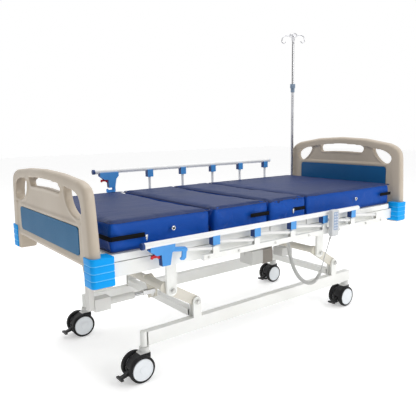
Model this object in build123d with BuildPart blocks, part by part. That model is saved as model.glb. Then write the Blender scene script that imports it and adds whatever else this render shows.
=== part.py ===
"""Adjustable hospital bed. Millimetres, +X to the head end, +Y to the far side, +Z up, origin on the floor."""
import os
from math import cos, radians, sin, tan

from build123d import *

os.makedirs("parts", exist_ok=True)

# --- Driving dimensions ---------------------------------------------------------------------------
MATTRESS_L, MATTRESS_W = 1950.0, 900.0
MATTRESS_Z0, MATTRESS_Z1 = 634.0, 762.0
KNEE_X, THIGH_X, BACK_X = -463.0, -104.0, 170.0     # seams and hinge lines of the four sections
DECK_Z0, DECK_Z1 = 603.0, 634.0                     # moving deck frames
FRAME_X, FRAME_Y = 985.0, 450.0                     # outer half length and half width of the bed frame
FRAME_Z0, FRAME_Z1, FRAME_W = 540.0, 600.0, 40.0
WALL = 2.0                                          # wall of the square tubes

BASE_Y, BASE_W, BASE_Z0, BASE_Z1 = 325.0, 40.0, 154.0, 219.0
BASE_X0, BASE_X1 = -765.0, 709.0
WHEEL_R, TRAIL = 62.5, 35.0
STEM_X = (-778.0, 687.0)                            # castor stems, foot and head

ARM_LENGTH, ARM_ANGLE = 170.0, 31.5                 # lift arm, and its slope above horizontal at rest
ARM_PIVOT_X, ARM_PIVOT_Z = (-489.0, 552.0), 298.0
ARM_Y, ARM_T = 325.0, 18.0
PIN_R, PLAY = 10.0, 0.1                             # pins, and their clearance in a running fit

RAIL_Y, RAIL_POST_Y = 499.0, 494.0
RAIL_Z_LOW, POST_L, POST_PITCH, POST_X1 = 592.0, 253.0, 250.0, -492.0
FOLD_ANGLE = 7.5                                    # posts of a folded rail above horizontal
RAIL_TUBE_R, RAIL_TUBE_L, RAIL_TUBE_LEAD, RAIL_TUBE_RISE = 13.0, 1414.0, 113.0, 34.0

BOARD_IN, BOARD_OUT, BOARD_HALF_W = 1028.0, 1074.5, 492.0
BOARD_EDGE_Z, LEG_Z = 592.0, 517.0
BUMPER_IN, BUMPER_OUT, BUMPER_Z0, BUMPER_Z1 = 983.0, 1080.0, 525.0, 640.0

POLE_X, POLE_Y = 1006.0, 445.0
POLE_R, POLE_BORE_R, POLE_ROD_R = 11.0, 9.1, 9.0
SOCKET_R, SOCKET_Z0, SOCKET_Z1 = 15.0, 540.0, 600.0

# Worked out from the above
ARM_DX, ARM_DZ = ARM_LENGTH * cos(radians(ARM_ANGLE)), ARM_LENGTH * sin(radians(ARM_ANGLE))
HANG_X = tuple(x - ARM_DX for x in ARM_PIVOT_X)
HANG_Z = ARM_PIVOT_Z + ARM_DZ
FOLD_DX, FOLD_DZ = POST_L * cos(radians(FOLD_ANGLE)), POST_L * sin(radians(FOLD_ANGLE))
STEM_R = 11.0
LIFT_LEVER_Y, LIFT_DROP, TORQUE_OUT = (-170.0, 80.0), 45.0, 31.0
CROSS_X = (-FRAME_X + 20, HANG_X[0], -300.0, 50.0, HANG_X[1], 700.0, FRAME_X - 20)
RIM = 30.0
BACK_SWEEP, KNEE_SWEEP = 70.0, 35.0                  # how far the back and the thigh section fold up
BACK_LEVER_Y, KNEE_LEVER_Y, ROD_Z, SLIDE_PIN_R = 95.0, -95.0, 516.0, 6.0
BACK_PIN_X = BACK_X - 1.11 * (DECK_Z1 - ROD_Z) * radians(BACK_SWEEP / 2)
KNEE_PIN_X = THIGH_X + 1.02 * (DECK_Z1 - ROD_Z) * radians(KNEE_SWEEP / 2)
POST_X = [POST_X1 + POST_PITCH * i for i in range(6)]


# --- Short helpers --------------------------------------------------------------------------------
def save(builder, name):
    """Label a finished piece and write its STEP file."""
    builder.part.label = name
    export_step(builder.part, f"parts/{name}.step")


def side(x, y, z, tilt=0.0):
    """Plane facing the near side: its x runs along the bed, tilted by an angle, its y runs up."""
    return Plane(origin=(x, y, z), x_dir=(cos(radians(tilt)), 0, sin(radians(tilt))), z_dir=(0, -1, 0))


def block(x0, x1, y0, y1, z0, z1, mode=Mode.ADD):
    """Box between two corners, in the part that is being built."""
    with BuildSketch(Plane.XY.offset(z0)) as outline:
        with Locations(((x0 + x1) / 2, (y0 + y1) / 2)):
            Rectangle(abs(x1 - x0), abs(y1 - y0))
    extrude(outline.sketch, amount=z1 - z0, mode=mode)


def beam_x(x0, x1, yc, w, z0, z1):
    """Square tube along the bed."""
    with BuildSketch(Plane.YZ.offset(x0)) as outline:
        with Locations((yc, (z0 + z1) / 2)):
            Rectangle(w, z1 - z0)
            Rectangle(w - 2 * WALL, z1 - z0 - 2 * WALL, mode=Mode.SUBTRACT)
    extrude(outline.sketch, amount=x1 - x0)


def beam_y(xc, w, y0, y1, z0, z1):
    """Square tube across the bed."""
    with BuildSketch(side(xc, y1, (z0 + z1) / 2)) as outline:
        Rectangle(w, z1 - z0)
        Rectangle(w - 2 * WALL, z1 - z0 - 2 * WALL, mode=Mode.SUBTRACT)
    extrude(outline.sketch, amount=y1 - y0)


def tube_x(x0, x1, y, z, r, bore=0.0, mode=Mode.ADD):
    """Round bar or tube along the bed."""
    with BuildSketch(Plane.YZ.offset(x0)) as outline:
        with Locations((y, z)):
            Circle(r)
            if bore:
                Circle(bore, mode=Mode.SUBTRACT)
    extrude(outline.sketch, amount=x1 - x0, mode=mode)


def bar_y(x, ya, yb, z, r, bore=0.0, mode=Mode.ADD):
    """Round bar or tube across the bed, between ya and yb."""
    with BuildSketch(side(x, max(ya, yb), z)) as outline:
        Circle(r)
        if bore:
            Circle(bore, mode=Mode.SUBTRACT)
    extrude(outline.sketch, amount=abs(yb - ya), mode=mode)


def bar_z(x, y, z0, z1, r, bore=0.0, mode=Mode.ADD):
    """Upright round bar or tube."""
    with BuildSketch(Plane.XY.offset(z0)) as outline:
        with Locations((x, y)):
            Circle(r)
            if bore:
                Circle(bore, mode=Mode.SUBTRACT)
    extrude(outline.sketch, amount=z1 - z0, mode=mode)


def plate(plane, points, t):
    """Flat plate of thickness t, centred on a plane, from the corners of its outline."""
    with BuildSketch(plane) as outline:
        with BuildLine():
            Polyline(*points, close=True)
        make_face()
    extrude(outline.sketch, amount=t / 2, both=True)


def lever(x, y, angle, points, slot_at, slot_l, slot_w):
    """Plate lever under a hinge, its outline in hinge coordinates, with a slot along the lever's own line."""
    with BuildSketch(side(x, y, DECK_Z1)) as outline:
        with BuildLine():
            Polyline(*points, close=True)
        make_face()
        with Locations(Location((slot_at * sin(angle), -slot_at * cos(angle), 0), 90 + angle * 57.29578)):
            SlotOverall(slot_l, slot_w, mode=Mode.SUBTRACT)
    extrude(outline.sketch, amount=4, both=True)


def along(angle, u, v):
    """Point u down a lever and v across it, in hinge coordinates. The angle is from straight down."""
    return (u * sin(angle) + v * cos(angle), -u * cos(angle) + v * sin(angle))


def fork(x, y, z, sx):
    """Fork on a rod's end with the pin that runs in a lever's slot. sx points from the rod to the pin."""
    for dy in (-9.5, 9.5):
        x0, x1 = sorted((x - sx * 48, x + sx * 9))
        block(x0, x1, y + dy - 4, y + dy + 4, z - 10, z + 10)
    x0, x1 = sorted((x - sx * 48, x - sx * 58))
    block(x0, x1, y - 13.5, y + 13.5, z - 10, z + 10)
    bar_y(x, y - 5.5, y + 5.5, z, SLIDE_PIN_R)


# --- Base frame: two side beams on castor sockets, two cross tubes, and the brackets of the lift arms
with BuildPart() as base_frame:
    for s in (-1, 1):
        beam_x(BASE_X0, BASE_X1, s * BASE_Y, BASE_W, BASE_Z0, BASE_Z1)
        bar_z(STEM_X[1], s * BASE_Y, BASE_Z0, BASE_Z0 + WALL, 16, mode=Mode.SUBTRACT)
        bar_z(STEM_X[0], s * BASE_Y, 150, 222, 17, bore=STEM_R + PLAY)
        bar_z(STEM_X[0], s * BASE_Y, 218, 222, 14)
        bar_z(STEM_X[1], s * BASE_Y, 152, BASE_Z1 - WALL, 17, bore=STEM_R + PLAY)
        block(BASE_X1, BASE_X1 + 3, s * BASE_Y - 20, s * BASE_Y + 20, BASE_Z0, BASE_Z1)
    for x in ARM_PIVOT_X:
        beam_y(x - 12, 40, -306, 306, 222, 256)
        for s in (-1, 1):
            for yc in (309.5, 340.5):
                with BuildSketch(side(x, s * yc, BASE_Z1 - 5)):
                    Rectangle(46, ARM_PIVOT_Z - BASE_Z1 + 5, align=(Align.CENTER, Align.MIN))
                    with Locations((0, ARM_PIVOT_Z - BASE_Z1 + 5)):
                        Circle(23)
                extrude(amount=4.5, both=True)
            bar_y(x, s * 305, s * 345, ARM_PIVOT_Z, PIN_R)
            bar_y(x, s * 345, s * 352, ARM_PIVOT_Z, 15)
save(base_frame, "base_frame")

# --- Castors: twin wheels, a housing that swivels on its stem, and a brake pedal
for end, stem_x in (("foot", STEM_X[0]), ("head", STEM_X[1])):
    for where, s in (("near", -1), ("far", 1)):
        y = s * BASE_Y
        wx = stem_x - TRAIL
        with BuildPart() as housing:
            with BuildSketch(side(wx, y, WHEEL_R)):
                with BuildLine():
                    Polyline((TRAIL + 21, 66), (TRAIL - 19, 66), (-30, 44), (-52, 14), (-46, -22), (18, -40),
                             (48, -16), (TRAIL + 21, 40), close=True)
                make_face()
                Circle(9 + PLAY, mode=Mode.SUBTRACT)
            extrude(amount=21, both=True)
            bar_z(stem_x, y, WHEEL_R + 66, WHEEL_R + 86, 23)
            bar_z(stem_x, y, WHEEL_R + 86, WHEEL_R + 148, STEM_R)
            block(wx - 60, wx - 22, y - 12, y + 12, 24, 66, mode=Mode.SUBTRACT)
            bar_y(wx - 38, y - 13, y + 13, 52, 4)
        save(housing, f"castor_housing_{end}_{where}")

        with BuildPart() as wheels:
            bar_y(wx, y - 46, y + 46, WHEEL_R, 9)
            for turn in (-1, 1):
                bar_y(wx, y + turn * 26, y + turn * 50, WHEEL_R, WHEEL_R, bore=51.5)
                bar_y(wx, y + turn * 24, y + turn * 51.5, WHEEL_R, 51.5, bore=9)
        save(wheels, f"castor_wheels_{end}_{where}")

        with BuildPart() as pedal:
            plate(side(wx - 42, y, 52), [(12, 7), (12, -7), (-8, -14), (-26, -20), (-52, -24), (-52, -15),
                                         (-28, -8), (-8, 7)], 22)
            block(wx - 98, wx - 84, y - 26, y + 26, 28, 37)
            bar_y(wx - 38, y - 11, y + 11, 52, 4 + PLAY, mode=Mode.SUBTRACT)
        save(pedal, f"castor_brake_{end}_{where}")

# --- Lift arms: two side bars joined by a torque tube with a slotted lever, at each end
for i, end in enumerate(("foot", "head")):
    px, hx, ly = ARM_PIVOT_X[i], HANG_X[i], LIFT_LEVER_Y[i]
    tx = -TORQUE_OUT * cos(radians(ARM_ANGLE))
    tz = TORQUE_OUT * sin(radians(ARM_ANGLE))
    with BuildPart() as arm:
        for s in (-1, 1):
            with BuildSketch(side(px, s * ARM_Y, ARM_PIVOT_Z, 180 - ARM_ANGLE)):
                with Locations(((ARM_LENGTH + TORQUE_OUT) / 2, 0)):
                    SlotCenterToCenter(ARM_LENGTH + TORQUE_OUT, 50)
                Circle(PIN_R + PLAY, mode=Mode.SUBTRACT)
                with Locations((ARM_LENGTH, 0)):
                    Circle(PIN_R + (PLAY if end == "foot" else 0.3), mode=Mode.SUBTRACT)
            extrude(amount=ARM_T / 2, both=True)
        bar_y(hx + tx, -316, 316, HANG_Z + tz, 20, bore=17)
        with BuildSketch(side(hx, ly, HANG_Z)):
            with BuildLine():
                Polyline((tx - 22, tz + 26), (tx + 24, tz + 26), (26, 4), (24, -78), (-24, -78), (-28, -20),
                         close=True)
            make_face()
            with Locations((tx, tz)):
                Circle(20, mode=Mode.SUBTRACT)
            with Locations((0, -LIFT_DROP - 10)):
                SlotOverall(44, 21, rotation=90, mode=Mode.SUBTRACT)
        extrude(amount=4, both=True)
    save(arm, f"lift_arm_{end}")

# --- Bed frame: side beams, cross beams, brackets that hang on the lift arms, pole sockets
with BuildPart() as bed_frame:
    inner_y = FRAME_Y - FRAME_W
    for s in (-1, 1):
        beam_x(-FRAME_X, FRAME_X, s * (FRAME_Y - FRAME_W / 2), FRAME_W, FRAME_Z0, FRAME_Z1)
        for x in HANG_X:
            with BuildSketch(side(x, s * 344, FRAME_Z0)):
                Rectangle(54, FRAME_Z0 - HANG_Z, align=(Align.CENTER, Align.MAX))
                with Locations((0, HANG_Z - FRAME_Z0)):
                    Circle(27)
            extrude(amount=8, both=True)
            bar_y(x, s * 315, s * 352, HANG_Z, PIN_R)
            bar_y(x, s * 352, s * 359, HANG_Z, 15)
        for sx in (-1, 1):
            bar_z(sx * POLE_X, s * POLE_Y, SOCKET_Z0, SOCKET_Z1, SOCKET_R, bore=POLE_R)
            x0, x1 = sorted((sx * FRAME_X, sx * (POLE_X - SOCKET_R + 1)))
            block(x0, x1, s * POLE_Y - 5, s * POLE_Y + 5, 555, 585)
    for x in CROSS_X:
        beam_y(x, 40, -inner_y, inner_y, FRAME_Z0, FRAME_Z1)
save(bed_frame, "bed_frame")

# --- Deck sections: welded frames under slatted steel sheet, two of them with an actuator lever
for name, x0, x1, z0 in (("back_deck", BACK_X + 4, 955.0, DECK_Z0),
                         ("seat_deck", THIGH_X + 4, BACK_X - 5, FRAME_Z1),
                         ("thigh_deck", KNEE_X + 5, THIGH_X - 4, DECK_Z0),
                         ("foot_deck", -972.0, KNEE_X - 5, DECK_Z0)):
    with BuildPart() as deck:
        block(x0, x1, -FRAME_Y, FRAME_Y, z0, DECK_Z1)
        block(x0 + RIM, x1 - RIM, -FRAME_Y + RIM, FRAME_Y - RIM, z0, DECK_Z1 - 3, mode=Mode.SUBTRACT)
        count = max(2, int((x1 - x0) // 85))
        with BuildSketch(Plane.XY.offset(DECK_Z1 - 3)):
            with Locations(((x0 + x1) / 2, 0)):
                with GridLocations((x1 - x0 - 2 * RIM) / count, 210, count, 3):
                    SlotOverall(170, 26, rotation=90)
        extrude(amount=3, mode=Mode.SUBTRACT)
        if name == "back_deck":
            a = -radians(BACK_SWEEP / 2)
            lever(BACK_X, BACK_LEVER_Y, a, [(6, -8), (32, -8), (60, -36), along(a, 168, 22), along(a, 168, -22),
                                            along(a, 95, -22), (-4, -42)], 130.5, 50, 18.4)
        if name == "thigh_deck":
            a = radians(KNEE_SWEEP / 2)
            lever(THIGH_X, KNEE_LEVER_Y, a, [(-32, -8), (-6, -8), (-2, -38), along(a, 95, 20), along(a, 150, 20),
                                             along(a, 150, -20), (-50, -36)], 121, 30, 14.6)
    save(deck, name)

# --- Mattress: four foam sections, sloped where the deck folds up, and the soft foam between the slopes
foam_h = MATTRESS_Z1 - MATTRESS_Z0
back_cut, thigh_cut = foam_h * tan(radians(BACK_SWEEP / 2 + 1.5)), foam_h * tan(radians(KNEE_SWEEP / 2 + 1.5))
for name, x0, x1, cut0, cut1 in (("mattress_back", BACK_X + 2, MATTRESS_L / 2, back_cut, 0.0),
                                 ("mattress_seat", THIGH_X + 2, BACK_X - 2, thigh_cut, back_cut),
                                 ("mattress_thigh", KNEE_X + 2, THIGH_X - 2, 0.0, thigh_cut),
                                 ("mattress_foot", -MATTRESS_L / 2, KNEE_X - 2, 0.0, 0.0)):
    with BuildPart() as foam:
        plate(side(0, 0, 0), [(x0, MATTRESS_Z0), (x1, MATTRESS_Z0), (x1 - cut1, MATTRESS_Z1),
                              (x0 + cut0, MATTRESS_Z1)], MATTRESS_W)
    save(foam, name)

with BuildPart() as fold_foam:
    for x, cut in ((BACK_X, back_cut), (THIGH_X, thigh_cut)):
        plate(side(x, 0, MATTRESS_Z0), [(0, 3), (cut - 3, foam_h), (3 - cut, foam_h)], MATTRESS_W)
save(fold_foam, "mattress_fold_foam")


# --- Head and foot boards: moulded shells with a handle slot, two side openings, legs and recessed panels
def board(sx, shoulder, arc_mid, arc_end, top_z, slot, eye, panel):
    """One end board. sx is -1 at the foot; the points are (half width, height), slot and panel (half, low, high)."""
    x0, x1 = sorted((sx * BOARD_IN, sx * BOARD_OUT))
    leg0, leg1 = sorted((sx * FRAME_X, sx * (BOARD_IN + 5)))
    with BuildPart() as shell:
        with BuildSketch(Plane.YZ.offset(x0)):
            with BuildLine():
                for s in (-1, 1):
                    Line((s * BOARD_HALF_W, LEG_Z), (s * shoulder[0], shoulder[1]))
                    ThreePointArc((s * shoulder[0], shoulder[1]), (s * arc_mid[0], arc_mid[1]),
                                  (s * arc_end[0], arc_end[1]))
                    Polyline((s * BOARD_HALF_W, LEG_Z), (s * 424, LEG_Z), (s * 424, BOARD_EDGE_Z))
                ThreePointArc(arc_end, (0, top_z), (-arc_end[0], arc_end[1]))
                Line((-424, BOARD_EDGE_Z), (424, BOARD_EDGE_Z))
            make_face()
            with Locations((0, (slot[1] + slot[2]) / 2)):
                RectangleRounded(2 * slot[0], slot[2] - slot[1], (slot[2] - slot[1]) / 2 - 1, mode=Mode.SUBTRACT)
            for s in (-1, 1):
                with BuildLine():
                    Polyline(*[(s * y, z) for y, z in eye], close=True)
                make_face(mode=Mode.SUBTRACT)
        extrude(amount=x1 - x0)
        for x, inward in ((x0, 1), (x1, -1)):
            with BuildSketch(Plane.YZ.offset(x)):
                with Locations((0, (panel[1] + panel[2]) / 2)):
                    RectangleRounded(2 * panel[0], panel[2] - panel[1], 22)
            extrude(amount=8 * inward, mode=Mode.SUBTRACT)
        for s in (-1, 1):
            block(leg0, leg1, s * 459 - 35, s * 459 + 35, LEG_Z, 598)
            bar_z(sx * POLE_X, s * POLE_Y, LEG_Z, 598, 17, mode=Mode.SUBTRACT)
            c0, c1 = sorted((sx * FRAME_X, sx * (POLE_X - 12)))
            block(c0, c1, s * POLE_Y - 6, s * POLE_Y + 6, 552, 588, mode=Mode.SUBTRACT)
    return shell


HEAD_EYE = [(282, 975), (290, 1000), (345, 996), (384, 968), (386, 930), (360, 888), (345, 892), (300, 940)]
FOOT_EYE = [(228, 868), (236, 889), (320, 886), (378, 870), (392, 846), (368, 806), (352, 802), (268, 832)]
FOOT_PANEL, HEAD_PANEL = (368, 630, 746), (368, 630, 862)
footboard = board(-1, (464, 862), (444, 908), (385, 931), 953, (150, 874, 911), FOOT_EYE, FOOT_PANEL)
save(footboard, "footboard")
headboard = board(1, (475, 925), (452, 980), (385, 1015), 1054, (180, 955, 1010), HEAD_EYE, HEAD_PANEL)
save(headboard, "headboard")

with BuildPart() as board_panels:
    for sx, (half, z0, z1) in ((-1, FOOT_PANEL), (1, HEAD_PANEL)):
        xa, xb = sorted((sx * BOARD_IN, sx * BOARD_OUT))
        for x in (xa + 4, xb - 8):
            with BuildSketch(Plane.YZ.offset(x)):
                with Locations((0, (z0 + z1) / 2)):
                    RectangleRounded(2 * half - 1, z1 - z0 - 1, 21.5)
            extrude(amount=4)
save(board_panels, "board_panels")

with BuildPart() as bumpers:
    for sx in (-1, 1):
        for s in (-1, 1):
            x0, x1 = sorted((sx * BUMPER_IN, sx * BUMPER_OUT))
            y0, y1 = sorted((s * 430, s * 501))
            block(x0, x1, y0, y1, BUMPER_Z0, BUMPER_Z1)
    fillet(bumpers.edges().filter_by(Axis.Z).filter_by(
        lambda e: abs(e.center().X) > BUMPER_OUT - 1 and abs(e.center().Y) > 500), 14)
    for sx in (-1, 1):
        for s in (-1, 1):
            x0, x1 = sorted((sx * (BUMPER_IN - 5), sx * BOARD_OUT))
            y0, y1 = sorted((s * 425, s * 494))
            block(x0, x1, y0, y1, BUMPER_Z0 - 5, BUMPER_Z1 + 5, mode=Mode.SUBTRACT)
save(bumpers, "corner_bumpers")

# --- Side rails: six posts on a low bar, a top tube with clevis blocks, a latch and its trigger
with BuildPart() as rail_mounts:
    for s in (-1, 1):
        block(-562, 800, s * 494 - 11, s * 494 + 11, 545, 572)
        for x in POST_X:
            for yc in (484.5, 503.5):
                block(x - 18, x + 18, s * yc - 1.5, s * yc + 1.5, 572, RAIL_Z_LOW + 11)
            bar_y(x, s * 486, s * 502, RAIL_Z_LOW, 4)
        for x in (POST_X[0] + 20, POST_X[2], POST_X[4], 780):
            y0, y1 = sorted((s * FRAME_Y, s * 483))
            block(x - 15, x + 15, y0, y1, 548, 569)
save(rail_mounts, "rail_mounts")

for where, s, tilt in (("near", -1, -FOLD_ANGLE), ("far", 1, -90.0)):
    y = s * RAIL_POST_Y
    top_dx, top_dz = (-FOLD_DX, FOLD_DZ) if where == "near" else (0.0, POST_L)
    pz = RAIL_Z_LOW + top_dz
    px = POST_X[0] + top_dx
    for i, x in enumerate(POST_X):
        shaft = side(x + top_dx, y, pz, tilt)
        with BuildPart() as post:
            with BuildSketch(shaft):
                for u, turn in ((0, 15), (POST_L, -15)):
                    with Locations((u, 0)):
                        Circle(9)
                    with Locations((u + turn, 0)):
                        Rectangle(30, 14)
                for u in (0, POST_L):
                    with Locations((u, 0)):
                        Circle(4 + PLAY, mode=Mode.SUBTRACT)
            extrude(amount=5.5, both=True)
            with BuildSketch(Plane(origin=shaft.from_local_coords((28, 0, 0)), z_dir=shaft.x_dir)):
                Circle(8)
            extrude(amount=POST_L - 56)
            if i == 0:
                plate(shaft, [(27, -8), (27, 12), (88, 12), (97, 4), (97, -36), (88, -46), (72, -46), (68, -38),
                              (76, -32), (76, -8)], 8)
        save(post, f"rail_{where}_post_{i + 1}")

    tube_x0, tube_z = px - RAIL_TUBE_LEAD, pz + RAIL_TUBE_RISE
    with BuildPart() as top_tube:
        tube_x(tube_x0, tube_x0 + RAIL_TUBE_L, s * RAIL_Y, tube_z, RAIL_TUBE_R, bore=RAIL_TUBE_R - WALL)
    save(top_tube, f"rail_{where}_top_tube")

    with BuildPart() as fittings:
        for x in POST_X[1:]:
            bx = x + top_dx
            block(bx - 20, bx + 20, y - 15, y + 15, pz - 16, tube_z - 5)
            block(bx - 12, bx + 21, y - 6.5, y + 6.5, pz - 17, pz + 12, mode=Mode.SUBTRACT)
            bar_y(bx, y - 6.5, y + 6.5, pz, 4)
        for yc in (y - 11, y + 11):
            plate(side(px, yc, pz), [(-87, 28), (32, 28), (32, 6), (16, -12), (6, -63), (-33, -63), (-36, -14),
                                     (-58, -14), (-87, 8)], 6)
        plate(side(px, y, pz), [(-87, 28), (32, 28), (32, 14), (-14, 14), (-14, -63), (-33, -63), (-33, 9),
                                (-87, 12)], 16)
        bar_y(px, y - 8, y + 8, pz, 4)
        bar_y(px - 45, y - 8, y + 8, pz - 3, 3)
        tube_x(tube_x0, tube_x0 + RAIL_TUBE_L, s * RAIL_Y, tube_z, RAIL_TUBE_R, mode=Mode.SUBTRACT)
        tube_x(tube_x0 - 12, tube_x0, s * RAIL_Y, tube_z, RAIL_TUBE_R + 1.5)
        tube_x(tube_x0 + RAIL_TUBE_L, tube_x0 + RAIL_TUBE_L + 3, s * RAIL_Y, tube_z, RAIL_TUBE_R)
    save(fittings, f"rail_{where}_fittings")

    with BuildPart() as trigger:
        plate(side(px, y, pz), [(-80, -26), (-78, -13), (-54, -9), (-50, 4), (-40, 4), (-37.5, -10), (-37.5, -30),
                                (-46, -30), (-50, -24), (-70, -24), (-74, -29)], 9)
        bar_y(px - 45, y - 5, y + 5, pz - 3, 3 + PLAY, mode=Mode.SUBTRACT)
    save(trigger, f"rail_{where}_trigger")

# --- Drip pole in the far head socket: lower tube with a clamp collar, sliding rod, hub with four hooks
COLLAR_Z, HUB_Z = 1388.0, 1768.0
with BuildPart() as pole_lower:
    bar_z(POLE_X, POLE_Y, SOCKET_Z0 + 2, COLLAR_Z, POLE_R, bore=POLE_BORE_R)
    bar_z(POLE_X, POLE_Y, COLLAR_Z, COLLAR_Z + 36, 15, bore=POLE_BORE_R)
    bar_z(POLE_X, POLE_Y, COLLAR_Z + 32, COLLAR_Z + 62, 19.5, bore=POLE_BORE_R)
save(pole_lower, "pole_lower")

with BuildPart() as pole_rod:
    bar_z(POLE_X, POLE_Y, 1180, HUB_Z, POLE_ROD_R)
save(pole_rod, "pole_rod")

with BuildPart() as pole_hooks:
    with BuildSketch(side(POLE_X, POLE_Y, HUB_Z)):
        with BuildLine():
            Polyline((0, 0), (13, 0), (13, 20), (28, 26), (31, 36), (28, 46), (18, 52), (0, 53), close=True)
        make_face()
    revolve(axis=Axis((POLE_X, POLE_Y, 0), (0, 0, 1)))
    for turn in (45, 135, 225, 315):
        c, d = cos(radians(turn)), sin(radians(turn))
        arm_plane = Plane(origin=(POLE_X, POLE_Y, HUB_Z + 34), x_dir=(c, d, 0), z_dir=(d, -c, 0))
        with BuildLine(arm_plane):
            FilletPolyline((26, 0), (58, 4), (80, -12), (86, -42), (68, -56), (54, -40), radius=9)
        with BuildSketch(Plane(origin=arm_plane.from_local_coords((26, 0, 0)),
                               z_dir=arm_plane.from_local_coords((32, 4, 0))
                               - arm_plane.from_local_coords((0, 0, 0)))):
            Circle(4)
        sweep()
save(pole_hooks, "pole_hooks")

# --- Handset that hangs on the near rail bar, with its keypad
HAND_X, HAND_Y0, HAND_Y1, HAND_Z0, HAND_Z1 = 292.0, -552.0, -527.0, 538.0, 682.0
with BuildPart() as handset:
    with BuildSketch(side(HAND_X, HAND_Y1, (HAND_Z0 + HAND_Z1) / 2)):
        RectangleRounded(58, HAND_Z1 - HAND_Z0, 12)
    extrude(amount=HAND_Y1 - HAND_Y0)
    fillet(handset.faces().sort_by(Axis.Y)[0].edges(), 5)
    with BuildSketch(side(HAND_X, HAND_Y0, 622)):
        RectangleRounded(36, 98, 4)
    extrude(amount=-1.2, mode=Mode.SUBTRACT)
    block(HAND_X - 11, HAND_X + 11, HAND_Y1, -475.5, 572.6, 578)
    block(HAND_X - 11, HAND_X + 11, -482.4, -475.5, 560, 578)
save(handset, "handset")

with BuildPart() as keypad:
    with BuildSketch(side(HAND_X, HAND_Y0 + 1.2, 622)):
        RectangleRounded(35.8, 97.8, 3.9)
    extrude(amount=1.8)
save(keypad, "handset_keypad")

# --- Handset cable: a curly part that hangs from the frame, then a thin straight part up to the handset
COIL = [(50, -425, 536), (52, -436, 470), (66, -445, 402), (94, -456, 338), (138, -468, 290), (190, -480, 274),
        (228, -490, 300), (242, -500, 350)]
LEAD = [(242.4, -501, 352), (246, -512, 412), (255, -528, 474), (266, -539, 538)]
for name, route, r in (("cable_coiled", COIL, 11.0), ("cable_straight", LEAD, 3.0)):
    points = [Vector(*p) for p in route]
    runs = [(points[k + 1] - points[k]).length for k in range(len(points) - 1)]
    radii = []
    for k in range(1, len(points) - 1):
        turn = (points[k] - points[k - 1]).get_angle(points[k + 1] - points[k])
        radii.append(0.45 * min(runs[k - 1], runs[k]) / tan(radians(turn / 2)))
    print(name, "radii", [round(v, 1) for v in radii])
    with BuildPart() as cable:
        with BuildLine() as wire:
            FilletPolyline(*points, radius=radii)
        with BuildSketch(Plane(origin=points[0], z_dir=points[1] - points[0])):
            Circle(r)
        sweep()
    length = sum(edge.length for edge in wire.edges())
    print(name, "length", round(length, 1), "volume", round(cable.part.volume),
          "section times length", round(3.14159265 * r * r * length))
    save(cable, name)

# --- Actuators and control box, hung from the cross beams
LIFT_Z = HANG_Z - LIFT_DROP
with BuildPart() as actuator_bodies:
    tube_x(167, 301, LIFT_LEVER_Y[1], LIFT_Z, 20)
    block(172, 262, LIFT_LEVER_Y[1] - 92, LIFT_LEVER_Y[1] + 26, LIFT_Z - 62, LIFT_Z + 24)
    block(262, 348, LIFT_LEVER_Y[1] - 92, LIFT_LEVER_Y[1] - 22, LIFT_Z - 68, LIFT_Z + 22)
    block(178, 196, LIFT_LEVER_Y[1] - 60, LIFT_LEVER_Y[1] + 4, LIFT_Z + 24, 500)
    block(50, 196, LIFT_LEVER_Y[1] - 60, LIFT_LEVER_Y[1] - 36, 480, 500)
    block(36, 64, LIFT_LEVER_Y[1] - 60, LIFT_LEVER_Y[1] - 36, 480, FRAME_Z0)
    tube_x(-868, -740, LIFT_LEVER_Y[0], LIFT_Z, 17)
    block(-944, -868, LIFT_LEVER_Y[0] - 26, LIFT_LEVER_Y[0] + 26, LIFT_Z - 30, LIFT_Z + 28)
    block(-968, -944, LIFT_LEVER_Y[0] - 20, LIFT_LEVER_Y[0] + 20, LIFT_Z - 20, FRAME_Z0)
    tube_x(-172, 28, BACK_LEVER_Y, ROD_Z, 20)
    block(-290, -172, BACK_LEVER_Y - 32, BACK_LEVER_Y + 32, ROD_Z - 66, ROD_Z + 22)
    block(-310, -284, BACK_LEVER_Y - 24, BACK_LEVER_Y + 24, ROD_Z - 40, FRAME_Z0)
    tube_x(-4, 112, KNEE_LEVER_Y, ROD_Z, 20)
    block(112, 200, KNEE_LEVER_Y - 32, KNEE_LEVER_Y + 32, ROD_Z - 62, ROD_Z + 22)
    block(36, 64, KNEE_LEVER_Y - 16, KNEE_LEVER_Y + 16, ROD_Z, FRAME_Z0)
    for x0, x1, y, z in ((170, 301, LIFT_LEVER_Y[1], LIFT_Z), (-873, -740, LIFT_LEVER_Y[0], LIFT_Z),
                         (-172, 28, BACK_LEVER_Y, ROD_Z), (-4, 112, KNEE_LEVER_Y, ROD_Z)):
        tube_x(x0, x1, y, z, 11.1, mode=Mode.SUBTRACT)
save(actuator_bodies, "actuator_bodies")

with BuildPart() as lift_rods:
    fork(HANG_X[1], LIFT_LEVER_Y[1], LIFT_Z, 1)
    tube_x(HANG_X[1] - 180, HANG_X[1] - 58, LIFT_LEVER_Y[1], LIFT_Z, 11)
    fork(HANG_X[0], LIFT_LEVER_Y[0], LIFT_Z, 1)
    tube_x(HANG_X[0] - 180, HANG_X[0] - 58, LIFT_LEVER_Y[0], LIFT_Z, 11)
save(lift_rods, "lift_rods")

with BuildPart() as back_rod:
    fork(BACK_PIN_X, BACK_LEVER_Y, ROD_Z, 1)
    tube_x(BACK_PIN_X - 255, BACK_PIN_X - 58, BACK_LEVER_Y, ROD_Z, 11)
save(back_rod, "back_rod")

with BuildPart() as knee_rod:
    fork(KNEE_PIN_X, KNEE_LEVER_Y, ROD_Z, -1)
    tube_x(KNEE_PIN_X + 58, KNEE_PIN_X + 170, KNEE_LEVER_Y, ROD_Z, 11)
save(knee_rod, "knee_rod")

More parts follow.
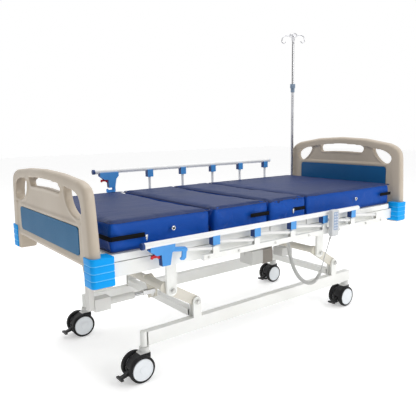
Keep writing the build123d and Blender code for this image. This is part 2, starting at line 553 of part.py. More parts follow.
with BuildPart() as control_box:
    block(402, 496, -45, 40, 301, 355)
    plate(side(0, 0, 0), [(470, 355), (470, 500), (394, 500), (394, FRAME_Z0), (418, FRAME_Z0), (418, 508),
                          (478, 508), (478, 355)], 50)
save(control_box, "control_box")
print("nodes:", len([n for n in os.listdir("parts") if n.endswith(".step")]))
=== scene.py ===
"""Looks of an adjustable hospital bed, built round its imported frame. Metres, +X to the head end, +Z up."""
import math

import bmesh
import bpy
from mathutils import Matrix, Vector, noise


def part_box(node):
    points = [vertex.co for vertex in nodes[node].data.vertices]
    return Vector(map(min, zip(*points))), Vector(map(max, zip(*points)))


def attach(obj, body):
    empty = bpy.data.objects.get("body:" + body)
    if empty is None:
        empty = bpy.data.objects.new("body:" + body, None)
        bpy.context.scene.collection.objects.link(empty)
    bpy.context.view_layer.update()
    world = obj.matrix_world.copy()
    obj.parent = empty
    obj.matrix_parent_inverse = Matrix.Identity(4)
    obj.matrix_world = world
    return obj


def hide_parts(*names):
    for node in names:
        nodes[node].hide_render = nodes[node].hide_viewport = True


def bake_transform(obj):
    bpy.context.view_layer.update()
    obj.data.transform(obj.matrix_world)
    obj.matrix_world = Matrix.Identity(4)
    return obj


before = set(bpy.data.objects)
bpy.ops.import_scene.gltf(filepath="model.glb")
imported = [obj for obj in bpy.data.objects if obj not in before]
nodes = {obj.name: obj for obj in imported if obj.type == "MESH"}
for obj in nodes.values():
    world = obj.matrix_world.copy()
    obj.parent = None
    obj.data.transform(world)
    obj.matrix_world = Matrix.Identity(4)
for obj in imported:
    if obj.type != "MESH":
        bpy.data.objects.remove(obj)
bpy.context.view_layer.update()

# --- Base frame --------------------------------------------------------------------------------------
# The undercarriage is two steel beams on castor sockets with two cross tubes, all powder coated white.
# Its edges are the rounded ones of drawn tube, and the coat has the fine orange peel of oven paint.


def marks_group():
    """Node group with the slow patches, fine grain and rubbed edges that every finish here shares."""
    group = bpy.data.node_groups.new("marks", "ShaderNodeTree")
    group.interface.new_socket("Patch Scale", in_out="INPUT", socket_type="NodeSocketFloat").default_value = 4.0
    group.interface.new_socket("Grain Scale", in_out="INPUT", socket_type="NodeSocketFloat").default_value = 400.0
    for name in ("Patches", "Grain", "Edges"):
        group.interface.new_socket(name, in_out="OUTPUT", socket_type="NodeSocketFloat")
    n, link = group.nodes, group.links.new
    given, out = n.new("NodeGroupInput"), n.new("NodeGroupOutput")
    place = n.new("ShaderNodeTexCoord")
    for socket, detail in (("Patch Scale", 5.0), ("Grain Scale", 2.0)):
        cloud = n.new("ShaderNodeTexNoise")
        cloud.inputs["Detail"].default_value = detail
        link(place.outputs["Object"], cloud.inputs["Vector"])
        link(given.outputs[socket], cloud.inputs["Scale"])
        link(cloud.outputs["Fac"], out.inputs["Patches" if socket == "Patch Scale" else "Grain"])
    shape = n.new("ShaderNodeNewGeometry")
    rub = n.new("ShaderNodeMapRange")
    rub.inputs["From Min"].default_value = 0.53
    rub.inputs["From Max"].default_value = 0.66
    link(shape.outputs["Pointiness"], rub.inputs["Value"])
    link(rub.outputs["Result"], out.inputs["Edges"])
    return group


MARKS = marks_group()


def finish(name, colour, shade, rubbed, rough=(0.35, 0.5), patch=5.0, grain=500.0, depth=0.05, metallic=0.0,
           coat=0.0, shine=0.32):
    """Material: colour drifting to shade in patches, rubbed on its edges, with roughness and grain to suit."""
    material = bpy.data.materials.new(name)
    material.use_nodes = True
    n, link = material.node_tree.nodes, material.node_tree.links.new
    shader = n["Principled BSDF"]
    marks = n.new("ShaderNodeGroup")
    marks.node_tree = MARKS
    marks.inputs["Patch Scale"].default_value = patch
    marks.inputs["Grain Scale"].default_value = grain
    drift = n.new("ShaderNodeMapRange")
    drift.inputs["From Min"].default_value = 0.35
    drift.inputs["From Max"].default_value = 0.7
    link(marks.outputs["Patches"], drift.inputs["Value"])
    tone = n.new("ShaderNodeMix")
    tone.data_type = "RGBA"
    tone.inputs["A"].default_value = (*colour, 1)
    tone.inputs["B"].default_value = (*shade, 1)
    link(drift.outputs["Result"], tone.inputs["Factor"])
    edge = n.new("ShaderNodeMix")
    edge.data_type = "RGBA"
    edge.inputs["B"].default_value = (*rubbed, 1)
    link(marks.outputs["Edges"], edge.inputs["Factor"])
    link(tone.outputs["Result"], edge.inputs["A"])
    link(edge.outputs["Result"], shader.inputs["Base Color"])
    gloss = n.new("ShaderNodeMapRange")
    gloss.inputs["To Min"].default_value = rough[0]
    gloss.inputs["To Max"].default_value = rough[1]
    link(marks.outputs["Patches"], gloss.inputs["Value"])
    link(gloss.outputs["Result"], shader.inputs["Roughness"])
    bump = n.new("ShaderNodeBump")
    bump.inputs["Strength"].default_value = depth
    bump.inputs["Distance"].default_value = 0.001
    link(marks.outputs["Grain"], bump.inputs["Height"])
    link(bump.outputs["Normal"], shader.inputs["Normal"])
    shader.inputs["Metallic"].default_value = metallic
    shader.inputs["Coat Weight"].default_value = coat
    shader.inputs["Coat Roughness"].default_value = 0.15
    shader.inputs["Specular IOR Level"].default_value = 0.5 if metallic else shine
    return material


POWDER_COAT = finish("powder_coat", (0.85, 0.855, 0.83), (0.81, 0.81, 0.775), (0.88, 0.88, 0.86), (0.3, 0.42),
                     grain=900.0, depth=0.12)
# painted shade: a darker, warmer copy of the white coat, given to the lift arms to stand in for the shade under the bed
PAINTED_SHADE_COAT = finish("powder_coat_shaded", (0.66, 0.63, 0.56), (0.6, 0.57, 0.49), (0.76, 0.74, 0.69), (0.34, 0.46),
                    grain=900.0, depth=0.12)


def dress(node, material, radius=0.0015):
    """Give a frame node its finish, and round its edges by a radius."""
    piece = nodes[node]
    piece.data.materials.clear()
    piece.data.materials.append(material)
    if radius:
        weld = piece.modifiers.new("weld", "WELD")
        weld.merge_threshold = 0.00005
        bevel = piece.modifiers.new("rounding", "BEVEL")
        bevel.width = radius
        bevel.segments = 2
        bevel.limit_method = "ANGLE"
        bevel.angle_limit = math.radians(40)
        bevel.use_clamp_overlap = True
        bevel.harden_normals = False
    return piece


dress("base_frame", POWDER_COAT, 0.003)

# --- Pivot bolts -------------------------------------------------------------------------------------
# Zinc-plated hex bolts hold the lift arms to the base brackets and to the hanging plates.
# Each is a domed hexagon head on a round washer, pressed against the white washer disc of the frame.
ZINC = finish("zinc_plate", (0.62, 0.62, 0.6), (0.5, 0.5, 0.48), (0.75, 0.75, 0.74), (0.22, 0.4), patch=30.0,
              grain=700.0, depth=0.05, metallic=1.0)


def clear_selection():
    """Nothing stays selected before a new primitive is added."""
    if bpy.context.object and bpy.context.object.mode == "EDIT":
        bpy.ops.object.mode_set(mode="OBJECT")
    bpy.ops.object.select_all(action="DESELECT")


def pick(kind, test):
    """In edit mode, select the faces or edges whose centre and direction pass a test."""
    mesh = bmesh.from_edit_mesh(bpy.context.object.data)
    bpy.ops.mesh.select_all(action="DESELECT")
    bpy.ops.mesh.select_mode(type="FACE" if kind == "faces" else "EDGE")
    if kind == "faces":
        mesh.normal_update()
        for face in mesh.faces:
            if test(face.calc_center_median(), face.normal):
                face.select_set(True)
    else:
        for edge in mesh.edges:
            a, b = edge.verts[0].co, edge.verts[1].co
            if test((a + b) / 2, b - a):
                edge.select_set(True)
    bmesh.update_edit_mesh(bpy.context.object.data)


def settle(piece, angle=35):
    """Apply the piece's modifiers and place, and shade it smooth up to an angle."""
    clear_selection()
    piece.select_set(True)
    bpy.context.view_layer.objects.active = piece
    if piece.type == "CURVE":
        bpy.ops.object.convert(target="MESH")
    for modifier in list(piece.modifiers):
        bpy.ops.object.modifier_apply(modifier=modifier.name)
    bpy.ops.object.transform_apply(location=True, rotation=True, scale=True)
    bpy.ops.object.shade_smooth_by_angle(angle=math.radians(angle))
    return piece


def join(name, pieces):
    """Make one object of several."""
    clear_selection()
    for piece in pieces:
        piece.select_set(True)
    bpy.context.view_layer.objects.active = pieces[0]
    if len(pieces) > 1:
        bpy.ops.object.join()
    pieces[0].name = name
    return pieces[0]


def copy_at(piece, offset, name, turn=0.0):
    """Copy of a piece with its own mesh, turned about Z through the origin and then moved."""
    twin = piece.copy()
    twin.data = piece.data.copy()
    twin.name = name
    bpy.context.scene.collection.objects.link(twin)
    twin.data.transform(Matrix.Translation(offset) @ Matrix.Rotation(turn, 4, "Z"))
    return twin


def hex_bolt(across, height):
    """Hexagon head with a washer under it, standing on the origin along -Y."""
    clear_selection()
    bpy.ops.mesh.primitive_cylinder_add(vertices=24, radius=across * 0.72, depth=0.0016,
                                        location=(0, -0.0008, 0), rotation=(math.pi / 2, 0, 0))
    washer = bpy.context.object
    clear_selection()
    bpy.ops.mesh.primitive_cylinder_add(vertices=6, radius=across / 2 * 1.155, depth=height,
                                        location=(0, -0.0016 - height / 2, 0), rotation=(math.pi / 2, 0, 0))
    head = bpy.context.object
    bpy.ops.object.transform_apply(location=True, rotation=True, scale=True)
    bpy.ops.object.mode_set(mode="EDIT")
    pick("faces", lambda c, n: n.y < -0.9)
    bpy.ops.mesh.inset(thickness=across * 0.06, depth=0.0)
    bpy.ops.mesh.inset(thickness=across * 0.1, depth=0.0007)
    bpy.ops.object.mode_set(mode="OBJECT")
    for part in (washer, head):
        rounding = part.modifiers.new("rounding", "BEVEL")
        rounding.width = 0.0005
        rounding.segments = 2
        settle(part)
    bolt = join("bolt", [washer, head])
    bolt.data.materials.append(ZINC)
    return bolt


pivot_bolt = hex_bolt(0.019, 0.008)
for body, places in (("base", [(x, 0.352) for x in (-0.489, 0.552)]),
                     ("bed", [(x, 0.359) for x in (-0.63395, 0.40705)])):
    copies = []
    for x, y in places:
        z = 0.298 if body == "base" else 0.38682
        copies.append(copy_at(pivot_bolt, Vector((x, -y, z)), "bolt_near"))
        copies.append(copy_at(pivot_bolt, Vector((x, y, z)), "bolt_far", math.pi))
    bolts = join(f"pivot_bolts_{body}", copies)
    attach(bolts, body)
bpy.data.objects.remove(pivot_bolt)

# --- Castors -----------------------------------------------------------------------------------------
# Twin-wheel castors: grey rubber tyres on nylon wheels, snap-on white disc covers with a shallow dish,
# a dark fork under a white swivel collar, and a black brake pedal between the wheels.
TYRE = finish("tyre_rubber", (0.012, 0.012, 0.013), (0.02, 0.02, 0.021), (0.04, 0.04, 0.04), (0.5, 0.68), patch=25.0,
              grain=1500.0, depth=0.15, shine=0.2)
DISC = finish("wheel_disc", (0.8, 0.83, 0.86), (0.76, 0.79, 0.82), (0.86, 0.87, 0.88), (0.28, 0.4), patch=12.0,
              grain=1200.0, depth=0.04)
PEDAL = finish("pedal_plastic", (0.018, 0.018, 0.019), (0.03, 0.03, 0.031), (0.07, 0.07, 0.07), (0.35, 0.5),
               patch=20.0, grain=1400.0, depth=0.1)


def two_tone(material, way, limit, colour):
    """Turn a finish into a second colour past a limit along a direction."""
    n, link = material.node_tree.nodes, material.node_tree.links.new
    place, along, past, tone = (n.new(kind) for kind in ("ShaderNodeTexCoord", "ShaderNodeVectorMath",
                                                         "ShaderNodeMath", "ShaderNodeMix"))
    along.operation, past.operation, tone.data_type = "DOT_PRODUCT", "GREATER_THAN", "RGBA"
    along.inputs[1].default_value = way
    past.inputs[1].default_value = limit
    link(place.outputs["Object"], along.inputs[0])
    link(along.outputs["Value"], past.inputs[0])
    shader = n["Principled BSDF"]
    link(shader.inputs["Base Color"].links[0].from_socket, tone.inputs["A"])
    tone.inputs["B"].default_value = (*colour, 1)
    link(past.outputs["Value"], tone.inputs["Factor"])
    link(tone.outputs["Result"], shader.inputs["Base Color"])
    return material


# the dark fork turns into the white swivel collar above its shoulder
FORK = two_tone(finish("fork_plastic", (0.016, 0.016, 0.018), (0.026, 0.026, 0.028), (0.06, 0.06, 0.06), (0.35, 0.5),
                       patch=18.0, grain=1100.0, depth=0.08, shine=0.22), (0, 0, 1), 0.1225, (0.74, 0.74, 0.72))


def castor_wheel(side):
    """One wheel of a twin pair, its disc cover facing out along side * Y, centred on the axle."""
    clear_selection()
    bpy.ops.mesh.primitive_cylinder_add(vertices=72, radius=0.0625, depth=0.0245,
                                        location=(0, side * 0.03775, 0), rotation=(math.pi / 2, 0, 0))
    wheel = bpy.context.object
    bpy.ops.object.transform_apply(location=True, rotation=True, scale=True)
    wheel.data.materials.append(TYRE)
    wheel.data.materials.append(DISC)
    bpy.ops.object.mode_set(mode="EDIT")
    pick("edges", lambda c, d: math.hypot(c.x, c.z) > 0.06 and abs(d.y) < 1e-5)
    bpy.ops.mesh.bevel(offset=0.006, segments=4)
    pick("faces", lambda c, n: n.y * side > 0.9 and math.hypot(c.x, c.z) < 0.05)
    bpy.ops.mesh.inset(thickness=0.0035, depth=0.0)
    bpy.ops.mesh.inset(thickness=0.0012, depth=-0.0028)
    bpy.ops.mesh.inset(thickness=0.0008, depth=0.0)
    bpy.context.object.active_material_index = 1
    bpy.ops.object.material_slot_assign()
    bpy.ops.mesh.inset(thickness=0.0012, depth=0.0036)
    bpy.ops.mesh.inset(thickness=0.0035, depth=0.0004)
    bpy.ops.mesh.inset(thickness=0.0025, depth=-0.0016)
    bpy.ops.mesh.inset(thickness=0.026, depth=0.0008)
    bpy.ops.mesh.inset(thickness=0.0015, depth=0.0012)
    bpy.ops.mesh.inset(thickness=0.006, depth=0.0004)
    pick("faces", lambda c, n: n.y * side < -0.9 and math.hypot(c.x, c.z) < 0.05)
    bpy.ops.mesh.inset(thickness=0.006, depth=0.0)
    bpy.ops.mesh.inset(thickness=0.001, depth=-0.004)
    bpy.context.object.active_material_index = 1
    bpy.ops.object.material_slot_assign()
    bpy.ops.object.mode_set(mode="OBJECT")
    return settle(wheel, 30)


pair = join("wheel_pair", [castor_wheel(-1), castor_wheel(1)])
STEM_X = {"foot": -0.778, "head": 0.687}
for end, stem_x in STEM_X.items():
    for where, side in (("near", -1), ("far", 1)):
        label = f"{end}_{where}"
        wheels = copy_at(pair, Vector((stem_x - 0.035, side * 0.325, 0.0625)), f"wheels_{label}")
        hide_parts(f"castor_wheels_{label}")
        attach(wheels, f"wheels_{label}")
        dress(f"castor_housing_{label}", FORK, 0.004)
        dress(f"castor_brake_{label}", PEDAL, 0.002)
bpy.data.objects.remove(pair)

# --- Lift arms, bed frame and decks ------------------------------------------------------------------
# Welded steel in the same white coat, though the lift arms carry a darker, warmer copy of it as painted shade.
# The arms swing the bed frame up and down on the base, and the four deck sections lie on the frame
# with slots that let the mattress breathe.
# the lift arms take the painted-shade copy of the coat
for node, radius in (("lift_arm_foot", 0.003), ("lift_arm_head", 0.003)):
    dress(node, PAINTED_SHADE_COAT, radius)
dress("bed_frame", POWDER_COAT, 0.003)
for node in ("seat_deck", "back_deck", "thigh_deck", "foot_deck"):
    dress(node, POWDER_COAT, 0.004)

# --- Actuators and control box -----------------------------------------------------------------------
# Three linear motors in warm grey housings with ground steel rods, and a pale box for their electrics.
# They hang under the frame; each rod ends in a steel fork whose pin runs in the slot of a lever.
MOTOR = finish("motor_housing", (0.3, 0.27, 0.24), (0.25, 0.225, 0.2), (0.4, 0.38, 0.35), (0.38, 0.55), grain=1000.0,
               depth=0.12)
BOX = finish("control_box", (0.68, 0.68, 0.66), (0.62, 0.61, 0.58), (0.76, 0.76, 0.75), (0.35, 0.5), grain=1000.0,
             depth=0.1)
ROD = finish("ground_rod", (0.6, 0.6, 0.6), (0.52, 0.52, 0.52), (0.7, 0.7, 0.7), (0.15, 0.3), patch=40.0,
             grain=900.0, depth=0.04, metallic=1.0)
motors = dress("actuator_bodies", MOTOR, 0.003)
motors.data.materials.append(BOX)
for face in motors.data.polygons:                            # pale: the foot lift motor and the head one's gear case
    if face.center.x < -0.7 or (0.15 < face.center.x < 0.2615 and face.center.z < 0.4):
        face.material_index = 1
dress("control_box", BOX, 0.003)
for node in ("lift_rods", "back_rod", "knee_rod"):
    dress(node, ROD, 0.0008)

# --- Mattress ----------------------------------------------------------------------------------------
# Four foam sections in one coated cover, navy and a little shiny on top and royal blue on the sides.
# Each is a swollen, slightly creased block with sewn top and bottom edges; zips and vent eyelets follow.


def cover_finish(name, colour, shade, sheen_colour, rough):
    """Coated cover fabric: fine weave, soft creases, and a sheen at a grazing look."""
    material = finish(name, colour, shade, colour, rough, patch=3.5, grain=1100.0, depth=0.05)
    n, link = material.node_tree.nodes, material.node_tree.links.new
    shader = n["Principled BSDF"]
    place = n.new("ShaderNodeTexCoord")
    weave = []
    for direction in ("X", "DIAGONAL"):
        thread = n.new("ShaderNodeTexWave")
        thread.bands_direction = direction
        thread.inputs["Scale"].default_value = 420.0
        thread.inputs["Distortion"].default_value = 0.6
        link(place.outputs["Object"], thread.inputs["Vector"])
        weave.append(thread)
    cloth = n.new("ShaderNodeMath")
    cloth.operation = "MULTIPLY"
    link(weave[0].outputs["Fac"], cloth.inputs[0])
    link(weave[1].outputs["Fac"], cloth.inputs[1])
    crease = n.new("ShaderNodeTexNoise")
    crease.inputs["Scale"].default_value = 9.0
    crease.inputs["Detail"].default_value = 4.0
    crease.inputs["Distortion"].default_value = 1.6
    stretch = n.new("ShaderNodeMapping")
    stretch.inputs["Scale"].default_value = (0.5, 1.3, 1.8)
    link(place.outputs["Object"], stretch.inputs["Vector"])
    link(stretch.outputs["Vector"], crease.inputs["Vector"])
    soft = n.new("ShaderNodeBump")
    soft.inputs["Strength"].default_value = 0.55
    soft.inputs["Distance"].default_value = 0.006
    link(crease.outputs["Fac"], soft.inputs["Height"])
    fine = n.new("ShaderNodeBump")
    fine.inputs["Strength"].default_value = 0.18
    fine.inputs["Distance"].default_value = 0.0004
    link(cloth.outputs["Value"], fine.inputs["Height"])
    link(soft.outputs["Normal"], fine.inputs["Normal"])
    link(fine.outputs["Normal"], shader.inputs["Normal"])
    shader.inputs["Sheen Weight"].default_value = 0.03
    shader.inputs["Sheen Roughness"].default_value = 0.4
    shader.inputs["Sheen Tint"].default_value = (*sheen_colour, 1)
    shader.inputs["Specular IOR Level"].default_value = 0.14
    return material


COVER_TOP = cover_finish("cover_top", (0.014, 0.03, 0.105), (0.02, 0.038, 0.128), (0.5, 0.56, 0.75), (0.46, 0.58))
COVER_SIDE = cover_finish("cover_side", (0.004, 0.07, 0.37), (0.003, 0.055, 0.31), (0.3, 0.45, 0.8), (0.34, 0.46))
SEAM_THREAD = finish("seam_thread", (0.008, 0.02, 0.09), (0.01, 0.025, 0.11), (0.03, 0.05, 0.16), (0.5, 0.6),
                     patch=40.0, grain=2000.0, depth=0.3)
TOP_Z, BOTTOM_Z, HALF_W = 0.762, 0.6345, 0.45
SWELL, END_SWELL, CAP = 0.007, 0.004, 0.009   # start this much smaller, and let no point move further than CAP
SECTIONS = {                                  # low and high end of each section, and the CAD nodes it stands for
    "mattress_foot_cover": (-0.975, -0.4665, ("mattress_foot",)),
    "mattress_thigh_cover": (-0.4595, -0.1065, ("mattress_thigh",)),
    "mattress_seat_cover": (-0.1015, 0.1665, ("mattress_seat", "mattress_fold_foam")),
    "mattress_back_cover": (0.1735, 0.975, ("mattress_back",)),
}


def foam_block(name, x0, x1):
    """A rounded block a little smaller than the section, its mesh even enough to crease."""
    clear_selection()
    size = (x1 - x0 - 2 * END_SWELL, 2 * (HALF_W - SWELL), TOP_Z - BOTTOM_Z - SWELL)
    bpy.ops.mesh.primitive_cube_add(size=1, location=((x0 + x1) / 2, 0, (TOP_Z + BOTTOM_Z - SWELL) / 2),
                                    scale=size)
    block = bpy.context.object
    block.name = name
    bpy.ops.object.transform_apply(location=True, rotation=True, scale=True)
    bpy.ops.object.mode_set(mode="EDIT")
    pick("edges", lambda c, d: abs(d.z) > 0.05)
    bpy.ops.mesh.bevel(offset=0.011, segments=3)
    pick("edges", lambda c, d: abs(d.z) < 1e-5 and abs(c.z - (TOP_Z + BOTTOM_Z - SWELL) / 2) > 0.05)
    bpy.ops.mesh.bevel(offset=0.009, segments=2)
    bpy.ops.object.mode_set(mode="OBJECT")
    remesh = block.modifiers.new("even", "REMESH")
    remesh.mode = "VOXEL"
    remesh.voxel_size = 0.0095
    bpy.ops.object.modifier_apply(modifier="even")
    return block


def swell(block, x0, x1):
    """Blow the block up like a stuffed cover, then hold every point near where it began."""
    start = [v.co.copy() for v in block.data.vertices]
    cloth = block.modifiers.new("cover", "CLOTH")
    cloth.settings.quality = 4
    cloth.settings.mass = 0.35
    cloth.settings.use_pressure = True
    cloth.settings.uniform_pressure_force = 4.0
    cloth.settings.tension_stiffness = 12
    cloth.settings.compression_stiffness = 12
    cloth.settings.bending_stiffness = 0.25
    cloth.settings.effector_weights.gravity = 0
    cloth.settings.shrink_min = -0.03
    cloth.collision_settings.use_self_collision = False
    cloth.point_cache.frame_start = 1
    cloth.point_cache.frame_end = 20
    for moment in range(1, 21):
        bpy.context.scene.frame_set(moment)
    clear_selection()
    block.select_set(True)
    bpy.context.view_layer.objects.active = block
    bpy.ops.object.modifier_apply(modifier="cover")
    for vertex, home in zip(block.data.vertices, start):
        move = vertex.co - home
        if move.length > CAP:
            vertex.co = home + move * (CAP / move.length)
        vertex.co.x = min(max(vertex.co.x, x0 - 0.001), x1 + 0.001)
    bpy.context.scene.frame_set(1)


def crease(block, x0, x1):
    """Shallow gathers that run in from the sewn edges and the ends, on top of the even swelling."""
    for vertex in block.data.vertices:
        p = vertex.co
        near_end = max(0.0, 1 - min(p.x - x0, x1 - p.x) / 0.13)
        near_side = max(0.0, 1 - (HALF_W - abs(p.y)) / 0.1)
        if p.z > TOP_Z - 0.03:
            fold = noise.noise(Vector((p.x * 4 + 7, p.y * 11, x0 * 31))) * near_end * 0.0055
            fold += noise.noise(Vector((p.x * 13, p.y * 4 + 3, x0 * 17))) * near_side * 0.004
            fold += noise.noise(Vector((p.x * 2.3, p.y * 2.1, x0 * 5))) * 0.003
            vertex.co.z = min(p.z + fold, TOP_Z + 0.003)
        elif p.z > BOTTOM_Z + 0.012:
            fold = noise.noise(Vector((p.x * 16, p.z * 9, p.y * 16 + x0 * 13))) * 0.0028
            if abs(p.y) > HALF_W - 0.03:
                vertex.co.y += math.copysign(min(fold * 1.3, 0.0008), p.y)
            if min(p.x - x0, x1 - p.x) < 0.03:
                vertex.co.x += fold * 0.7 * (1 if x1 - p.x < 0.03 else -1)
        if p.z < BOTTOM_Z + 0.001:
            vertex.co.z = BOTTOM_Z + 0.001


def welt_loop(name, x0, x1, z, radius):
    """The sewn edge of a cover: a thin cord of fabric round the block, just proud of it."""
    clear_selection()
    inset, corner = 0.004, 0.02
    path = bpy.data.curves.new(name, "CURVE")
    path.dimensions = "3D"
    path.bevel_depth = radius
    path.bevel_resolution = 2
    spline = path.splines.new("POLY")
    points = []
    for cx, cy, first in ((x1, 1, 0), (x0, 1, 90), (x0, -1, 180), (x1, -1, 270)):
        mx = cx - inset - corner if cx == x1 else cx + inset + corner
        my = cy * (HALF_W - inset - corner)
        for step in range(5):
            a = math.radians(first + step * 22.5)
            points.append((mx + corner * math.cos(a), my + corner * math.sin(a), z))
    spline.points.add(len(points) - 1)
    for point, place in zip(spline.points, points):
        point.co = (*place, 1)
    spline.use_cyclic_u = True
    welt = bpy.data.objects.new(name, path)
    bpy.context.scene.collection.objects.link(welt)
    settle(welt, 60)
    welt.data.materials.append(SEAM_THREAD)
    return welt


covers = {}
for name, (x0, x1, stood_for) in SECTIONS.items():
    cover = foam_block(name, x0, x1)
    swell(cover, x0, x1)
    crease(cover, x0, x1)
    smooth = cover.modifiers.new("fuller", "SUBSURF")
    smooth.levels = smooth.render_levels = 1
    settle(cover, 60)
    cover.data.materials.append(COVER_SIDE)
    cover.data.materials.append(COVER_TOP)
    for face in cover.data.polygons:
        face.material_index = 1 if face.normal.z > 0.6 and face.center.z > TOP_Z - 0.02 else 0
    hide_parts(*stood_for)
    covers[name] = cover

# --- Zips, vent eyelets and sewn edges of the mattress ------------------------------------------------
# Black coil zips sewn into the side faces, each closed by a zinc slider with a small pull tab,
# nickel vent eyelets in the same faces, and a thin sewn edge round the top of every section.
ZIP_TAPE = finish("zip_tape", (0.003, 0.003, 0.004), (0.005, 0.005, 0.006), (0.01, 0.01, 0.01), (0.6, 0.8), patch=60.0,
                  grain=2500.0, depth=0.5, shine=0.08)
NICKEL = finish("nickel", (0.75, 0.75, 0.73), (0.6, 0.6, 0.58), (0.85, 0.85, 0.84), (0.15, 0.3), patch=60.0,
                grain=900.0, depth=0.03, metallic=1.0)


def side_zip(name, x0, x1, z, side, end=None):
    """Zip tape with two rows of coil along a side face, from x0 to x1, wrapping a little round an end."""
    parts = []
    face_y = side * (HALF_W + 0.0015)
    clear_selection()
    bpy.ops.mesh.primitive_cube_add(size=1, location=((x0 + x1) / 2, face_y, z), scale=(x1 - x0, 0.004, 0.019))
    tape = bpy.context.object
    bpy.ops.object.transform_apply(location=True, rotation=True, scale=True)
    bpy.ops.object.mode_set(mode="EDIT")
    pick("faces", lambda c, n: n.y * side > 0.9)
    bpy.ops.mesh.inset(thickness=0.005, depth=0.0)
    bpy.ops.mesh.inset(thickness=0.001, depth=0.0016)
    bpy.ops.object.mode_set(mode="OBJECT")
    parts.append(tape)
    if end is not None:
        clear_selection()
        bpy.ops.mesh.primitive_cube_add(size=1, location=(end, side * (HALF_W - 0.05), z), scale=(0.004, 0.1, 0.019))
        corner = bpy.context.object
        bpy.ops.object.transform_apply(location=True, rotation=True, scale=True)
        parts.append(corner)
    for part in parts:
        rounding = part.modifiers.new("rounding", "BEVEL")
        rounding.width = 0.0012
        rounding.segments = 2
        settle(part)
    tape = join(name, parts)
    tape.data.materials.append(ZIP_TAPE)
    return tape


def slider(x, z, side):
    """Zip slider: a small saddle with a drop-shaped pull tab."""
    clear_selection()
    bpy.ops.mesh.primitive_cube_add(size=1, location=(x, side * (HALF_W + 0.0045), z), scale=(0.011, 0.006, 0.01))
    body = bpy.context.object
    bpy.ops.object.transform_apply(location=True, rotation=True, scale=True)
    clear_selection()
    bpy.ops.mesh.primitive_uv_sphere_add(segments=16, ring_count=8, radius=0.006,
                                         location=(x, side * (HALF_W + 0.0065), z - 0.011), scale=(0.8, 0.3, 1.5))
    tab = bpy.context.object
    bpy.ops.object.transform_apply(location=True, rotation=True, scale=True)
    for part in (body, tab):
        rounding = part.modifiers.new("rounding", "BEVEL")
        rounding.width = 0.001
        rounding.segments = 2
        settle(part)
    piece = join("slider", [body, tab])
    piece.data.materials.append(NICKEL)
    return piece


def eyelet(x, z, side):
    """Vent eyelet: a rolled ring in the side face round a dark hole."""
    clear_selection()
    bpy.ops.mesh.primitive_torus_add(major_radius=0.0075, minor_radius=0.0028, major_segments=28, minor_segments=10,
                                     location=(x, side * (HALF_W + 0.0015), z), rotation=(math.pi / 2, 0, 0))
    ring = bpy.context.object
    settle(ring, 60)
    clear_selection()
    bpy.ops.mesh.primitive_cylinder_add(vertices=24, radius=0.0062, depth=0.003,
                                        location=(x, side * (HALF_W + 0.0005), z), rotation=(math.pi / 2, 0, 0))
    mesh_cap = bpy.context.object
    settle(mesh_cap)
    ring.data.materials.append(NICKEL)
    mesh_cap.data.materials.append(ZIP_TAPE)
    return join("eyelet", [ring, mesh_cap])


TRIM = {                                      # zips (x0, x1, z, wrapped end), sliders and eyelets by section
    "mattress_foot_cover": (((-0.974, -0.822, 0.696, -0.9755),), ((-0.816, 0.69),), ((-0.681, 0.703),)),
    "mattress_thigh_cover": (((-0.237, -0.112, 0.702, None),), (), ()),
    "mattress_seat_cover": (((0.066, 0.155, 0.7, None),), ((0.06, 0.699),), ()),
    "mattress_back_cover": (((0.853, 0.966, 0.703, None),), (), ((0.606, 0.701),)),
}
for name, (zips, sliders, eyelets) in TRIM.items():
    x0, x1, _ = SECTIONS[name]
    trims = [join(name.replace("cover", "welts"), [welt_loop("welt", x0, x1, TOP_Z - 0.0045, 0.0022),
                                                   welt_loop("welt", x0, x1, BOTTOM_Z + 0.007, 0.0022)])]
    black, bright = [], []
    for side in (-1, 1):
        black += [side_zip("zip", *z, side=side, end=e) for *z, e in [(a, b, c, d) for a, b, c, d in zips]]
        bright += [slider(*s, side) for s in sliders]
        bright += [eyelet(*e, side) for e in eyelets]
    if black:
        trims.append(join(name.replace("cover", "zips"), black))
    if bright:
        trims.append(join(name.replace("cover", "metal"), bright))
    for piece in trims:
        covers[piece.name] = piece
BENDS = {                                     # covers that sit across a hinge, with body, part, start and end; the loop below only bakes them in place
    "seat": ("bed", "back", (0.07, 0, 0.634), (0.27, 0, 0.634)),
    "back": ("bed", "back", (0.07, 0, 0.634), (0.27, 0, 0.634)),
    "thigh": ("bed", "thigh", (-0.104, 0, 0.634), (-0.235, 0, 0.634)),
}
for name, piece in covers.items():
    section = name.split("_")[1]
    if section in BENDS:
        a, b, start, end = BENDS[section]
        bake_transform(piece)
    else:
        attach(piece, "lower_leg")

# --- End boards --------------------------------------------------------------------------------------
# Blow-moulded shells in warm beige plastic: a thick rounded rim round a thinner field, a handle slot and
# two side openings with rolled edges, and a blue panel pressed into each face between two low bands.
SHELL = finish("board_plastic", (0.53, 0.46, 0.375), (0.49, 0.42, 0.335), (0.62, 0.57, 0.49), (0.32, 0.45), patch=4.0,
               grain=650.0, depth=0.14, coat=0.08)
PANEL = {"foot": finish("panel_steel_blue", (0.03, 0.15, 0.3), (0.025, 0.13, 0.27), (0.08, 0.2, 0.34), (0.4, 0.54),
                        grain=800.0, depth=0.2, shine=0.12),
         "head": finish("panel_deep_blue", (0.0, 0.1, 0.28), (0.0, 0.085, 0.24), (0.03, 0.13, 0.28), (0.36, 0.5),
                        grain=800.0, depth=0.2)}
BOARD_X, BOARD_T, FIELD_T = 1.05125, 0.0465, 0.026          # middle of a board, its thickness, and its field's
OUTLINE = {                                                  # (half width, height) up one side to the middle
    "foot": [(0.492, 0.592), (0.478, 0.74), (0.464, 0.862), (0.456, 0.89), (0.444, 0.908), (0.418, 0.922), (0.385, 0.931),
             (0.2, 0.9475), (0.0, 0.953)],
    "head": [(0.492, 0.592), (0.483, 0.77), (0.475, 0.925), (0.468, 0.957), (0.452, 0.98), (0.424, 1.0), (0.385, 1.015),
             (0.2, 1.0445), (0.0, 1.054)],
}
